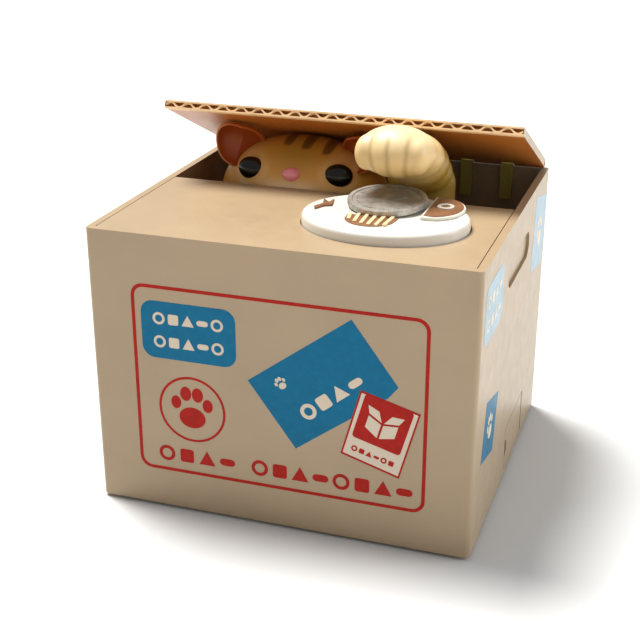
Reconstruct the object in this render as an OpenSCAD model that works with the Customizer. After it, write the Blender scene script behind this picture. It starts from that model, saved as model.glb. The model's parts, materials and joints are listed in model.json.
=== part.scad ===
// Carton-shaped coin bank: a motor draws a cat's paw and head down into the case when a coin lies on the tray.
// Millimetres. Origin at the middle of the resting face, +X to the right, +Y to the back, +Z up.

/* [Case] */
// Width of the case, left to right
case_w = 120; // [119:1:121]
// Depth of the case, front to back
case_d = 110; // [109:1:111]
// Height of the top deck above the table
case_h = 91; // [91:1:92]
// Thickness of the walls, the deck and the base
wall = 2.4; // [2.2:0.1:2.6]
// Height of the rubber feet under the base
foot_h = 1; // [0.8:0.1:1.2]
// Radius of the upright outer corners
corner_r = 1.5; // [1:0.1:2]
// Back edge of the top deck
deck_back = 3; // [2:0.5:3]

/* [Lid] */
// Length of the lid from its hinge to its front edge
lid_len = 56.5; // [55:0.5:57]
// Width of the lid
lid_w = 118; // [116:1:118]
// Thickness of the corrugated lid
lid_t = 2.6; // [2.2:0.1:2.8]
// Angle at which the lid leans on the cat's head
lid_open = 24.6; // [24:0.1:26]

/* [Coin tray] */
// Long axis of the oval tray
tray_w = 51; // [49:1:52]
// Short axis of the oval tray
tray_d = 41; // [39:1:41]
// Height of the tray's face above the deck
tray_h = 3.4; // [3:0.1:3.6]
// Distance that the tray sinks to close the switch
tray_travel = 1; // [0.8:0.1:1.2]
// Diameter of the coin
coin_d = 24.26; // [20:0.01:25]
// Thickness of the coin
coin_t = 1.75; // [1.4:0.05:2]

/* [Cat] */
// Half width of the head
head_rx = 29.5; // [28:0.5:29.5]
// Half depth of the head
head_ry = 16.6; // [15.6:0.2:16.6]
// Half height of the head
head_rz = 19.6; // [18.6:0.2:19.6]
// Thickness of the head shells
shell_t = 1.6; // [1.2:0.1:2]

/* [Drive] */
// Module of every gear
gear_m = 0.8; // [0.8:0.1:0.8]
// Thickness of the gears
gear_t = 4; // [3:0.5:4]
// Radius of the drive shafts
shaft_r = 1.5; // [1.4:0.05:1.5]
// Radial running clearance of the shafts
running = 0.05; // [0.04:0.01:0.08]

/* [Hidden] */
eps = 0.01;

// Colours
carton = [0.80, 0.66, 0.50];
carton_dark = [0.45, 0.28, 0.16];
fur = [0.78, 0.60, 0.36];
fur_pale = [0.90, 0.78, 0.55];
steel = [0.70, 0.71, 0.73];
nylon = [0.92, 0.91, 0.86];
frame_grey = [0.30, 0.31, 0.33];

// Case faces
half_w = case_w / 2;
half_d = case_d / 2;
in_x = half_w - wall;
in_y = half_d - wall;
floor_z = foot_h + wall;
deck_z = case_h - wall;

// Lid hinge, in the case's frame, and the lid's faces, measured from the hinge
hinge_y = 53;
hinge_z = case_h + 1.8;
knuckle_r = 1.6;
hinge_pin_r = 0.8;
lid_low = -1.6;
lid_top = lid_low + lid_t;
knuckle_x = [32, 46];
knuckle_w = 4;

// Tray
tray_x = 23.5;
tray_y = -23.5;
tray_top = case_h + tray_h;
tray_gap = 0.4;
flange = 2.5;

// Coin: its front edge is on the tray and its back edge on a ridge
coin_x = 22;
coin_y = -16;
coin_tilt = 3.75;

// Cat
head_x = -17;
head_y = 20;
head_z = 84.8;
head_cut_z = 73;
arm_x = 25.2;
mitt_x = 22.6;
mitt_y = -8.5;
mitt_z = 109.35;

// Gear centres in the YZ plane: every mesh is a 3-4-5 triangle
pinion_n = 12;
wheel_n = 30;
head_n = 28;
paw_n = 40;
main_y = 10;
main_z = 34;
first_step = gear_m * (head_n + pinion_n) / 2;
wheel_step = gear_m * (wheel_n + pinion_n) / 2;
first_y = main_y - 0.8 * first_step;
first_z = main_z - 0.6 * first_step;
second_y = first_y - 0.6 * wheel_step;
second_z = first_z + 0.8 * wheel_step;
motor_y = second_y - 0.6 * wheel_step;
motor_z = second_z + 0.8 * wheel_step;
steep = atan2(4, 3);
shallow = atan2(3, 4);

// A tooth of the head pinion points to the back, into a gap of the rack
head_phase = 0;
first_pinion_phase = mesh_phase(head_phase, head_n, pinion_n, 180 + shallow);
first_wheel_phase = 0;
second_pinion_phase = mesh_phase(first_wheel_phase, wheel_n, pinion_n, 180 - steep);
second_wheel_phase = 0;
motor_phase = mesh_phase(second_wheel_phase, wheel_n, pinion_n, 180 - steep);

// Gear planes along X
plane_1 = -27.5;
plane_2 = -22.5;
plane_3 = -17.5;
paw_plane = 12.5;
left_plate_x = -31;
right_plate_x = -11;
plate_t = 2;

// Paw rail: its own frame, whose +Y runs back and down, parallel to the lid at rest
rail_y = 14;
rail_z = 56;
rail_rod_x = [19.8, 30.2];
rod_r = 2;
paw_pitch_r = gear_m * paw_n / 2;
rail_dir = [cos(lid_open), -sin(lid_open)];
rail_up = [sin(lid_open), cos(lid_open)];
to_main = [main_y - rail_y, main_z - rail_z];
rack_at = to_main * rail_dir;
rack_line = to_main * rail_up + paw_pitch_r;
paw_phase = 90 - lid_open;

// Head rail
head_rod_x = [-33, -1];
head_rod_y = 24;
head_rack_line = main_y + gear_m * head_n / 2;
head_screw_x = [head_x - 8, head_x + 8];
head_screw_y = [head_y - 9, head_y + 9];

// ---- helpers ----

// A box from its lowest corner to its highest corner
module block(low, high) {
    translate(low) cube(high - low);
}

// 2-D x becomes Y, 2-D y becomes Z, and an extrusion runs along +X
module on_x(x, y = 0, z = 0) {
    translate([x, y, z]) rotate([90, 0, 90]) children();
}

module rod_x(x0, x1, y, z, r) {
    on_x(x0, y, z) cylinder(h = x1 - x0, r = r, $fn = 48);
}

module rod_z(x, y, z0, z1, r) {
    translate([x, y, z0]) cylinder(h = z1 - z0, r = r, $fn = 48);
}

module ellipsoid(centre, radii, fn = 48) {
    translate(centre) scale(radii) sphere(r = 1, $fn = fn);
}

module oval(w, d, h) {
    scale([w / 2, d / 2, 1]) cylinder(h = h, r = 1, $fn = 96);
}

module rounded_rect(w, d, r) {
    square([w - 2 * r, d], center = true);
    square([w, d - 2 * r], center = true);
    for (sx = [-1, 1], sy = [-1, 1])
        translate([sx * (w / 2 - r), sy * (d / 2 - r)]) circle(r = r, $fn = 48);
}

// Direction of a tooth of a follower that meshes, in direction dir from the driver, with a driver's teeth
function mesh_phase(phase, n_driver, n_follower, dir) =
    let (pitch = 360 / n_driver, part = (phase - dir) / pitch)
    dir + 180 - (part + 0.5) * 360 / n_follower;

// Involute tooth with a small gap at the pitch line
pressure = 25;
backlash = 0.16;
function involute(angle) = tan(angle) * 180 / PI - angle;
function flank_angle(r, r_pitch) =
    let (r_base = r_pitch * cos(pressure), here = acos(min(1, r_base / r)))
    90 * (PI * gear_m / 2 - backlash) / (PI * r_pitch) + involute(pressure) - involute(here);
function tooth_radii(r_pitch) =
    let (low = max(r_pitch - 1.2 * gear_m, r_pitch * cos(pressure)), high = r_pitch + 0.95 * gear_m)
    concat([r_pitch - 1.2 * gear_m], [for (i = [0:3]) low + (high - low) * i / 3]);

module gear_outline(n, phase) {
    r_pitch = gear_m * n / 2;
    radii = tooth_radii(r_pitch);
    last = len(radii) - 1;
    polygon([for (i = [0:n - 1], side = [-1, 1], j = [0:last])
        let (r = radii[side < 0 ? j : last - j], a = phase + 360 * i / n + side * flank_angle(r, r_pitch))
        [r * cos(a), r * sin(a)]]);
}

module gear(x, y, z, n, phase, t, bore) {
    on_x(x, y, z) difference() {
        linear_extrude(t) gear_outline(n, phase);
        translate([0, 0, -1]) cylinder(h = t + 2, r = bore, $fn = 48);
    }
}

// Rack along 2-D +y with its pitch line on x = 0, teeth towards -x, and a gap at y = 0
module rack_outline(low, high, back) {
    pitch = PI * gear_m;
    half = (pitch / 2 - backlash) / 2;
    tip = -0.95 * gear_m;
    root = 1.2 * gear_m;
    polygon([[root, low], [back, low], [back, high], [root, high]]);
    for (i = [ceil(low / pitch):floor(high / pitch) - 1])
        translate([0, (i + 0.5) * pitch])
            polygon([[root + eps, -half - root * tan(pressure)], [tip, -half - tip * tan(pressure)],
                [tip, half + tip * tan(pressure)], [root + eps, half + root * tan(pressure)]]);
}

// The rail's frame
module on_rail() {
    translate([0, rail_y, rail_z]) rotate([-lid_open, 0, 0]) children();
}

module rod_rail(x, y0, y1, z, r) {
    translate([x, y0, z]) rotate([-90, 0, 0]) cylinder(h = y1 - y0, r = r, $fn = 48);
}

// The lid's frame, turned to where it leans on the head
module on_lid() {
    translate([0, hinge_y, hinge_z]) rotate([-lid_open, 0, 0]) children();
}

// ---- case ----

module case_block() {
    linear_extrude(case_h) rounded_rect(case_w, case_d, corner_r);
}

screw_x = 53;
screw_y = 48;
foot_x = 53.5;
foot_y = 40;
foot_r = 3.5;
post_top = 20;
screw_r = 1.1;

module corner_posts(side) {
    for (y = [-screw_y, screw_y])
        difference() {
            union() {
                rod_z(side * screw_x, y, floor_z, post_top, 3);
                block([min(side * screw_x, side * in_x), y - 1.5, floor_z],
                    [max(side * screw_x, side * in_x), y + 1.5, post_top]);
            }
            rod_z(side * screw_x, y, floor_z - 1, post_top - 4, screw_r);
        }
}

// Hand hold pressed into the outside of a side wall
hold_y = [-16, 20];
hold_z = 75.5;
hold_r = 4.5;
hold_deep = 0.9;

module hand_hold(side) {
    x0 = side > 0 ? half_w - hold_deep : -half_w - 1;
    for (y = [hold_y[0] + hold_r, hold_y[1] - hold_r])
        rod_x(x0, x0 + hold_deep + 1, y, hold_z, hold_r);
    block([x0, hold_y[0] + hold_r, hold_z - hold_r], [x0 + hold_deep + 1, hold_y[1] - hold_r, hold_z + hold_r]);
}

module wall_part(low, high) {
    intersection() {
        case_block();
        block(low, high);
    }
}

module front_wall() {
    color(carton) wall_part([-half_w, -half_d, foot_h], [half_w, -in_y, case_h]);
}

module rear_wall() {
    color(carton) wall_part([-half_w, in_y, foot_h], [half_w, half_d, case_h]);
}

module left_wall() {
    color(carton) {
        difference() {
            block([-half_w, -in_y, foot_h], [-in_x, in_y, case_h]);
            hand_hold(-1);
        }
        corner_posts(-1);
    }
}

// Hatch in the right wall, for taking the coins out
hatch_y = [-3, 27];
hatch_z = [floor_z + 0.3, 18.3];
hatch_pin_y = hatch_y[1] - 1.2;
hatch_x = half_w - wall / 2;
hatch_pin_r = 0.6;

module right_wall() {
    color(carton) {
        difference() {
            block([in_x, -in_y, foot_h], [half_w, in_y, case_h]);
            hand_hold(1);
            block([in_x - 1, hatch_y[0] - 0.3, hatch_z[0] - 0.3], [half_w + 1, hatch_y[1] + 0.3, hatch_z[1] + 0.3]);
            rod_z(hatch_x, hatch_pin_y, hatch_z[0] - 2, hatch_z[1] + 2, hatch_pin_r);
        }
        corner_posts(1);
    }
}

module hatch_door() {
    color(carton) difference() {
        union() {
            block([in_x, hatch_y[0], hatch_z[0]], [half_w, hatch_pin_y, hatch_z[1]]);
            rod_z(hatch_x, hatch_pin_y, hatch_z[0], hatch_z[1], wall / 2);
        }
        rod_z(hatch_x, hatch_pin_y, hatch_z[0] - 1, hatch_z[1] + 1, hatch_pin_r + running);
        rod_x(half_w - 0.8, half_w + 1, hatch_y[0], (hatch_z[0] + hatch_z[1]) / 2, 3);
    }
}

module hatch_pin() {
    color(steel) rod_z(hatch_x, hatch_pin_y, hatch_z[0] - 2, hatch_z[1] + 2, hatch_pin_r);
}

board_z = 72;
board_t = 1.6;
board_posts = [for (x = [-6.5, 53.5], y = [-38, -9]) [x, y]];

module top_deck() {
    color(carton) {
        difference() {
            block([-in_x + 0.3, -in_y, deck_z], [in_x - 0.3, deck_back, case_h]);
            translate([tray_x, tray_y, deck_z - 1]) oval(tray_w + 2 * tray_gap, tray_d + 2 * tray_gap, wall + 2);
        }
        for (p = board_posts)
            rod_z(p[0], p[1], board_z + board_t, deck_z, 2.5);
        for (side = [-1, 1])
            block([side * (in_x - 2) - 2, deck_back - 4, deck_z - 4], [side * (in_x - 2) + 2, deck_back, deck_z]);
    }
}

speaker_at = [-40, 38];
cell_y = [-44.4, -29.2];
cell_r = 7.25;
cell_z = 11;
bay_x = [-48, 5];
bay_y = [-51.8, -21.8];
door_screw_at = [9.2, -37];

module base_plate() {
    color(carton_dark) difference() {
        union() {
            block([-in_x, -in_y, foot_h], [in_x, in_y, floor_z]);
            rod_z(door_screw_at[0], door_screw_at[1], floor_z, floor_z + 4, 2.5);
            for (x = head_rod_x)
                rod_z(x, head_rod_y, floor_z, floor_z + 4, 3.5);
        }
        block([bay_x[0], bay_y[0], 0], [bay_x[1], bay_y[1], floor_z + 1]);
        block([bay_x[1] - 1, door_screw_at[1] - 4.3, 0], [door_screw_at[0] + 4.3, door_screw_at[1] + 4.3, foot_h + 1.5]);
        rod_z(door_screw_at[0], door_screw_at[1], 0, floor_z + 3, 0.9);
        for (x = head_rod_x)
            rod_z(x, head_rod_y, floor_z, floor_z + 5, rod_r);
        for (x = [-screw_x, screw_x], y = [-screw_y, screw_y]) {
            rod_z(x, y, 0, floor_z + 1, screw_r + 0.1);
            rod_z(x, y, 0, foot_h + 1.4, 2.6);
        }
        for (i = [-2:2], j = [-2:2])
            if (i * i + j * j < 6)
                rod_z(speaker_at[0] + 3.4 * i, speaker_at[1] + 3.4 * j, 0, floor_z + 1, 1);
    }
}

module rubber_feet() {
    color("black") for (x = [-foot_x, foot_x], y = [-foot_y, foot_y])
        rod_z(x, y, 0, foot_h, foot_r);
}

module case_screws() {
    color(steel) for (x = [-screw_x, screw_x], y = [-screw_y, screw_y]) {
        rod_z(x, y, foot_h + 0.2, foot_h + 1.4, 2.4);
        rod_z(x, y, foot_h + 1.4, post_top - 6, screw_r);
    }
}

// ---- power, sound and switch ----

module battery_case() {
    color(frame_grey) difference() {
        block([bay_x[0] - 1.2, bay_y[0] - 0.8, floor_z], [bay_x[1] + 1.2, bay_y[1] + 0.8, 20]);
        block([bay_x[0], bay_y[0], floor_z - 1], [bay_x[1], bay_y[1], 18.8]);
    }
}

module battery_cells() {
    for (i = [0, 1]) {
        nub = i == 0 ? bay_x[1] - 2.5 : bay_x[0] + 1.2;
        body = i == 0 ? bay_x[0] + 1.2 : bay_x[0] + 2.5;
        color([0.15, 0.35, 0.30]) rod_x(body, body + 49.2, cell_y[i], cell_z, cell_r);
        color(steel) rod_x(nub, nub + 1.3, cell_y[i], cell_z, 2.75);
    }
}

module battery_contacts() {
    color(steel) for (x = [bay_x[0], bay_x[1] - 1.1], y = cell_y)
        block([x, y - 5, 6], [x + 1.1, y + 5, 17]);
}

module battery_door() {
    color(carton_dark) difference() {
        union() {
            block([bay_x[0] + 0.2, bay_y[0] + 0.2, foot_h], [bay_x[1] - 0.2, bay_y[1] - 0.2, foot_h + 2]);
            block([bay_x[1] - 2, door_screw_at[1] - 4, foot_h],
                [door_screw_at[0] + 4, door_screw_at[1] + 4, foot_h + 1.4]);
        }
        rod_z(door_screw_at[0], door_screw_at[1], 0, 5, 1);
        rod_z(door_screw_at[0], door_screw_at[1], 0, foot_h + 0.7, 2);
    }
}

module battery_door_screw() {
    color(steel) {
        rod_z(door_screw_at[0], door_screw_at[1], foot_h + 0.1, foot_h + 0.7, 1.8);
        rod_z(door_screw_at[0], door_screw_at[1], foot_h + 0.7, floor_z + 2.5, 0.9);
    }
}

module circuit_board() {
    color([0.10, 0.35, 0.20]) block([-10, -41, board_z], [56.5, -6, board_z + board_t]);
    color("black") {
        block([2, -36, board_z + board_t], [12, -29, board_z + board_t + 1.6]);
        rod_z(42, -14, board_z + board_t, board_z + board_t + 7, 3);
    }
}

switch_top = board_z + board_t + 6.5;

module tray_switch() {
    color("black") block([tray_x - 6.4, tray_y - 3, board_z + board_t], [tray_x + 6.4, tray_y + 3, switch_top - 1]);
    color([0.80, 0.20, 0.15]) rod_z(tray_x, tray_y, switch_top - 1, switch_top, 1.2);
}

module speaker() {
    color(frame_grey) {
        rod_z(speaker_at[0], speaker_at[1], floor_z, floor_z + 2, 11);
        rod_z(speaker_at[0], speaker_at[1], floor_z + 2, floor_z + 6, 6.5);
    }
}

// ---- gear train ----

module frame_plate(x) {
    on_x(x) difference() {
        linear_extrude(plate_t)
            polygon([[-20, floor_z], [19, floor_z], [19, 49], [3, 49], [-4, 60], [-34, 60], [-34, 21], [-20, 21]]);
        for (p = [[main_y, main_z], [first_y, first_z], [second_y, second_z]])
            translate([p[0], p[1], -1]) cylinder(h = plate_t + 2, r = shaft_r + running, $fn = 48);
        if (x == right_plate_x)
            translate([motor_y, motor_z, -1]) cylinder(h = plate_t + 2, r = 3, $fn = 48);
    }
}

module gear_frame_left() {
    color(frame_grey) frame_plate(left_plate_x);
}

module gear_frame_right() {
    color(frame_grey) frame_plate(right_plate_x);
}

module frame_spacers() {
    color(steel) for (p = [[14, 8], [-16, 9], [-8, 55]])
        rod_x(left_plate_x + plate_t, right_plate_x, p[0], p[1], 2.5);
}

motor_x = right_plate_x + plate_t;

module motor_can() {
    color(steel) difference() {
        union() {
            intersection() {
                rod_x(motor_x, motor_x + 25, motor_y, motor_z, 10);
                block([motor_x, motor_y - 10, motor_z - 7.5], [motor_x + 25, motor_y + 10, motor_z + 7.5]);
            }
            rod_x(right_plate_x, motor_x, motor_y, motor_z, 3);
        }
        rod_x(right_plate_x - 1, motor_x + 6, motor_y, motor_z, 1 + running);
    }
}

module motor_pinion() {
    color(nylon) gear(plane_3, motor_y, motor_z, pinion_n, motor_phase, gear_t, 1);
    color(steel) rod_x(plane_3, motor_x + 5, motor_y, motor_z, 1);
}

// A pinion and a wheel moulded together
module compound(x, y, z, pinion_phase, wheel_phase) {
    gear(x, y, z, pinion_n, pinion_phase, gear_t + 1, shaft_r);
    gear(x + gear_t + 1, y, z, wheel_n, wheel_phase, gear_t, shaft_r);
}

module first_wheel() {
    color(nylon) compound(plane_1, first_y, first_z, first_pinion_phase, first_wheel_phase);
}

module second_wheel() {
    color(nylon) compound(plane_2, second_y, second_z, second_pinion_phase, second_wheel_phase);
}

module first_shaft() {
    color(steel) rod_x(left_plate_x - 0.5, right_plate_x + plate_t + 0.5, first_y, first_z, shaft_r);
}

module second_shaft() {
    color(steel) rod_x(left_plate_x - 0.5, right_plate_x + plate_t + 0.5, second_y, second_z, shaft_r);
}

module main_shaft() {
    color(steel) rod_x(left_plate_x - 0.5, paw_plane + 8, main_y, main_z, shaft_r);
}

module head_pinion() {
    color(nylon) gear(plane_1, main_y, main_z, head_n, head_phase, gear_t, shaft_r);
}

module paw_pinion() {
    color(nylon) gear(paw_plane, main_y, main_z, paw_n, paw_phase, gear_t, shaft_r);
}

// ---- head ----

module head_solid(extra = 0, fn = 48) {
    ellipsoid([head_x, head_y, head_z], [head_rx + extra, head_ry + extra, head_rz + extra], fn);
}

// Half of the head, with two bosses for the screws that hold it to the carrier
module head_shell(y0, y1, boss_y) {
    difference() {
        intersection() {
            union() {
                difference() {
                    head_solid();
                    head_solid(-shell_t);
                }
                intersection() {
                    head_solid();
                    for (x = head_screw_x)
                        rod_z(x, boss_y, head_cut_z - 1, head_cut_z + 7, 3);
                }
            }
            block([head_x - 40, y0, head_cut_z], [head_x + 40, y1, head_z + 30]);
        }
        for (x = head_screw_x)
            rod_z(x, boss_y, head_cut_z - 2, head_cut_z + 5, screw_r);
    }
}

module head_front_shell() {
    color(fur) head_shell(head_y - 30, head_y, head_screw_y[0]);
}

module head_rear_shell() {
    color(fur) head_shell(head_y, head_y + 30, head_screw_y[1]);
}

ear_y = 12.5;
ear_z = 101.2;
ear_back = 3.6;
ear_front = -3;
ear_wall = 1.5;
eye_x = [-31.9, -1.9];
eye_y = 8.6;
eye_z = 94.5;
eye_r = [4, 2.6, 3.5];

// A round cup that opens to the front, cut away where the head and the eyes are
module ear(x, r) {
    difference() {
        translate([x, ear_y, ear_z]) rotate([-90, 0, 0]) rotate_extrude($fn = 72)
            polygon(concat([for (a = [0:15:90]) [r * sin(a), ear_back * cos(a)]],
                [[r, ear_front], [r - ear_wall, ear_front]],
                [for (a = [90:-15:0]) [(r - ear_wall) * sin(a), (ear_back - ear_wall) * cos(a)]]));
        head_solid(0, 96);
        for (e = eye_x) ellipsoid([e, eye_y, eye_z], [eye_r[0] + 0.1, eye_r[1] + 0.1, eye_r[2] + 0.1], 96);
    }
}

module left_ear() {
    color(fur) ear(-37.8, 7.6);
}

module right_ear() {
    color(fur) ear(3.3, 6.6);
}

// Where an eye or the nose sits on the face: its own ellipsoid, cut away where the head is
module face_piece(centre, radii) {
    difference() {
        ellipsoid(centre, radii, 96);
        head_solid(0, 96);
    }
}

module eyes() {
    color("black") for (x = eye_x)
        face_piece([x, eye_y, eye_z], eye_r);
}

module nose() {
    color([0.90, 0.50, 0.50]) face_piece([head_x, 5.2, 94.2], [3.2, 1.9, 2.3]);
}

carrier_z = [60, 70.5];

module head_carrier() {
    color(nylon) difference() {
        union() {
            for (x = head_rod_x)
                rod_z(x, head_rod_y, carrier_z[0], head_cut_z - 2, 4);
            block([head_rod_x[0], 22.5, carrier_z[0]], [head_rod_x[1], 28, head_cut_z - 2]);
            block([head_rod_x[0] - 3, 8, head_cut_z - 2.5], [head_rod_x[1] + 3, 32, head_cut_z]);
            translate([plane_1, head_rack_line, main_z]) rotate([90, 0, 90])
                linear_extrude(gear_t) rack_outline(-6, carrier_z[0] - main_z + 2, 5);
        }
        for (x = head_rod_x)
            rod_z(x, head_rod_y, carrier_z[0] - 1, head_cut_z + 1, rod_r + running);
        for (x = head_screw_x, y = head_screw_y)
            rod_z(x, y, carrier_z[0] - 1, head_cut_z + 1, screw_r);
        for (x = head_screw_x)
            rod_z(x, head_screw_y[1], carrier_z[0] - 1, head_cut_z - 2.5, 2.4);
    }
}

module head_guide_rods() {
    color(steel) for (x = head_rod_x)
        rod_z(x, head_rod_y, floor_z, head_cut_z + 1, rod_r);
}

module head_screws() {
    color(steel) for (x = head_screw_x, y = head_screw_y) {
        rod_z(x, y, head_cut_z - 4, head_cut_z - 2.5, 2.2);
        rod_z(x, y, head_cut_z - 2.5, head_cut_z + 4.5, screw_r);
    }
}

// ---- paw ----

stand_x = [17, 33];
stand_front_y = [0.5, 3.5];
stand_back_y = [49, 52];
rail_y_range = [-13, 40.5];

module paw_rail_stand() {
    color(frame_grey) difference() {
        union() {
            block([stand_x[0], stand_front_y[0], floor_z], [stand_x[1], stand_front_y[1], 66]);
            block([stand_x[0], stand_back_y[0], floor_z], [stand_x[1], stand_back_y[1], 46]);
            block([stand_x[0] + 0.5, stand_front_y[0], floor_z], [stand_x[0] + 3, 18, 42]);
            block([stand_x[0], stand_front_y[0], floor_z], [stand_x[0] + 3, stand_back_y[1], floor_z + 2]);
        }
        on_rail() for (x = rail_rod_x)
            rod_rail(x, rail_y_range[0], rail_y_range[1], 0, rod_r);
        rod_x(stand_x[0] - 1, stand_x[0] + 5, main_y, main_z, shaft_r + running);
    }
}

module paw_guide_rods() {
    color(steel) on_rail() for (x = rail_rod_x)
        rod_rail(x, rail_y_range[0], rail_y_range[1], 0, rod_r);
}

core_x = 22.5;

module paw_carriage() {
    color(nylon) difference() {
        on_rail() {
            difference() {
                block([16.6, -7, -4.5], [33.3, 7, 6]);
                for (x = rail_rod_x)
                    rod_rail(x, -8, 8, 0, rod_r + running);
            }
            translate([paw_plane + 0.2, 0, rack_line]) rotate([90, 0, 90]) linear_extrude(gear_t)
                translate([rack_at, 0]) rotate(90) rack_outline(-6, 33, 4);
        }
        paw_core_solid();
    }
}

// The lever inside the arm, bent forward into the mitt
module paw_core_solid() {
    on_x(core_x) linear_extrude(3.5)
        polygon([[9, 50], [17, 50], [17, 96], [10, 103], [-8, 108], [-8, 104], [3, 101], [9, 95]]);
}

module paw_core() {
    color(frame_grey) paw_core_solid();
}

elbow_at = [arm_x, 12.8, 95];
elbow_r = [11.1, 8, 8];
wrist_at = [25.2, 4, 103.2];
wrist_r = [10.9, 8.8, 8.2];

// The furry arm: a column that bends forward below the lid
module arm_solid() {
    hull() {
        translate([arm_x, 13.5, 68]) scale([11.2, 8.5, 1]) cylinder(h = 1, r = 1, $fn = 32);
        ellipsoid(elbow_at, elbow_r, 32);
    }
    hull() {
        ellipsoid(elbow_at, elbow_r, 32);
        ellipsoid(wrist_at, wrist_r, 32);
    }
}

module arm_half(x0, x1) {
    intersection() {
        difference() {
            arm_solid();
            paw_core_solid();
            mitt_solid();
        }
        block([x0, -30, 60], [x1, 40, 120]);
    }
}

module arm_left_shell() {
    color(fur) arm_half(0, arm_x);
}

module arm_right_shell() {
    color(fur) arm_half(arm_x, 60);
}

// The mitt: a palm with four short fingers in front
module mitt_solid() {
    hull() {
        ellipsoid([mitt_x, mitt_y, mitt_z], [12.4, 10, 8.1], 32);
        for (i = [-1.5:1.5])
            ellipsoid([mitt_x + 5.4 * i, mitt_y - 6, mitt_z - 0.2 - 0.6 * abs(i)],
                [3.9, 5.2, 5.6 - 0.5 * abs(i)], 32);
    }
}

module paw_mitt() {
    color(fur_pale) difference() {
        mitt_solid();
        paw_core_solid();
    }
}

// ---- tray and coin ----

module coin_tray() {
    color("white") difference() {
        union() {
            translate([tray_x, tray_y, deck_z - 2]) oval(tray_w, tray_d, tray_top - deck_z + 2);
            translate([tray_x, tray_y, deck_z - 2]) oval(tray_w + 2 * flange, tray_d + 2 * flange, 1.9);
        }
        for (i = [0:rib_count - 1])
            rib(i, 2);
    }
}

rib_count = 6;
rib_pitch = 2.6;
rib_w = 1.1;
rib_len = 7;
rib_deep = 0.8;

// A rib of the fish, in its hollow; the ribs stand in a fan
module rib(i, h) {
    translate([13.8 + rib_pitch * i, -33 - 1.5 * sin(36 * i), tray_top - rib_deep]) rotate(12 - 5 * i)
        block([-rib_w / 2, -rib_len / 2, 0], [rib_w / 2, rib_len / 2, h]);
}

coin_rest = [[15, -6.4], [29, -5.4]];

module fish_ribs() {
    color(fur_pale) {
        for (i = [0:rib_count - 1])
            rib(i, rib_deep / 2);
        block([coin_rest[0][0], coin_rest[0][1], tray_top], [coin_rest[1][0], coin_rest[1][1], tray_top + 1.3]);
    }
}

module fish_head() {
    color(carton_dark) translate([0, 0, tray_top]) linear_extrude(1.2) difference() {
        intersection() {
            translate([34.6, -16]) circle(r = 11.2, $fn = 72);
            translate([34.6, -26]) square([12, 20]);
        }
        translate([39.5, -15.5]) circle(r = 1.5, $fn = 36);
    }
}

module fish_tail() {
    color(carton_dark) translate([0, 0, tray_top]) linear_extrude(0.8)
        polygon([[1.8, -16.2], [4.4, -19], [4.9, -15.4], [6.2, -21.5], [4, -22.5], [2.2, -26.4], [1.4, -24.4], [3, -20.8]]);
}

module tray_plunger() {
    color(nylon) rod_z(tray_x, tray_y, switch_top + tray_travel + 0.1, deck_z - 2, 2.5);
}

module coin() {
    color(steel) translate([coin_x, coin_y, tray_top + 0.05 + coin_d / 2 * sin(coin_tilt)]) rotate([coin_tilt, 0, 0])
        cylinder(h = coin_t, d = coin_d, $fn = 96);
}

// Bin for the coins behind the hatch, with a ramp that leads into it
bin_x = 38;

module coin_bin() {
    color(carton_dark) {
        block([bin_x, -17.2, floor_z], [bin_x + 1.2, 4, 34]);
        block([bin_x, 4, floor_z], [bin_x + 1.2, 45, 24]);
        block([bin_x, -17.2, floor_z], [in_x, -16, 34]);
        block([bin_x, 43.8, floor_z], [in_x, 45, 34]);
        translate([0, 45, 0]) rotate([90, 0, 0]) linear_extrude(26.5)
            polygon([[20.5, 34], [bin_x + 0.5, 24], [bin_x + 0.5, 22.8], [20.5, 32.8]]);
    }
}

// ---- lid ----

module lid_hinge_brackets() {
    color(carton_dark) for (side = [-1, 1], k = knuckle_x) {
        x0 = side * k - knuckle_w / 2;
        difference() {
            union() {
                block([x0, in_y - 3, 80], [x0 + knuckle_w, in_y, case_h - 0.5]);
                block([x0, in_y - 3, case_h - 0.5], [x0 + knuckle_w, in_y - 1, hinge_z]);
                rod_x(x0, x0 + knuckle_w, hinge_y, hinge_z, knuckle_r);
            }
            rod_x(x0 - 1, x0 + knuckle_w + 1, hinge_y, hinge_z, hinge_pin_r);
        }
    }
}

pin_x = [25, 53];

module lid_hinge_pins() {
    color(steel) for (side = [-1, 1])
        rod_x(min(side * pin_x[0], side * pin_x[1]), max(side * pin_x[0], side * pin_x[1]),
            hinge_y, hinge_z, hinge_pin_r);
}

// Stretches of the roll along the lid's hinge edge, between the brackets
bracket_gap = 0.3;
roll_end = 58.5;
lid_rolls = [[-roll_end, -48 - bracket_gap], [-44 + bracket_gap, -34 - bracket_gap], [-30 + bracket_gap, 30 - bracket_gap],
    [34 + bracket_gap, 44 - bracket_gap], [48 + bracket_gap, roll_end]];

module lid_panel() {
    color(carton) on_lid() {
        block([-lid_w / 2, -lid_len + 2.6, lid_low], [lid_w / 2, -4.5, lid_top]);
        for (x = lid_rolls)
            difference() {
                union() {
                    rod_x(x[0], x[1], 0, 0, knuckle_r);
                    block([x[0], -5, -0.9], [x[1], 0, lid_top]);
                }
                rod_x(x[0] - 1, x[1] + 1, 0, 0, hinge_pin_r + running);
            }
    }
}

// Cut edge of the corrugated board, with a row of flutes
flute_pitch = 6;

module lid_front_edge() {
    color(fur_pale) on_lid() difference() {
        block([-lid_w / 2, -lid_len, lid_low], [lid_w / 2, -lid_len + 2.6, lid_top]);
        for (x = [-lid_w / 2 + 4:flute_pitch:lid_w / 2 - 2])
            translate([x, -lid_len - 1, (lid_low + lid_top) / 2]) rotate([-90, 0, 0]) cylinder(h = 2.4, r = 0.8, $fn = 24);
    }
}

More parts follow.
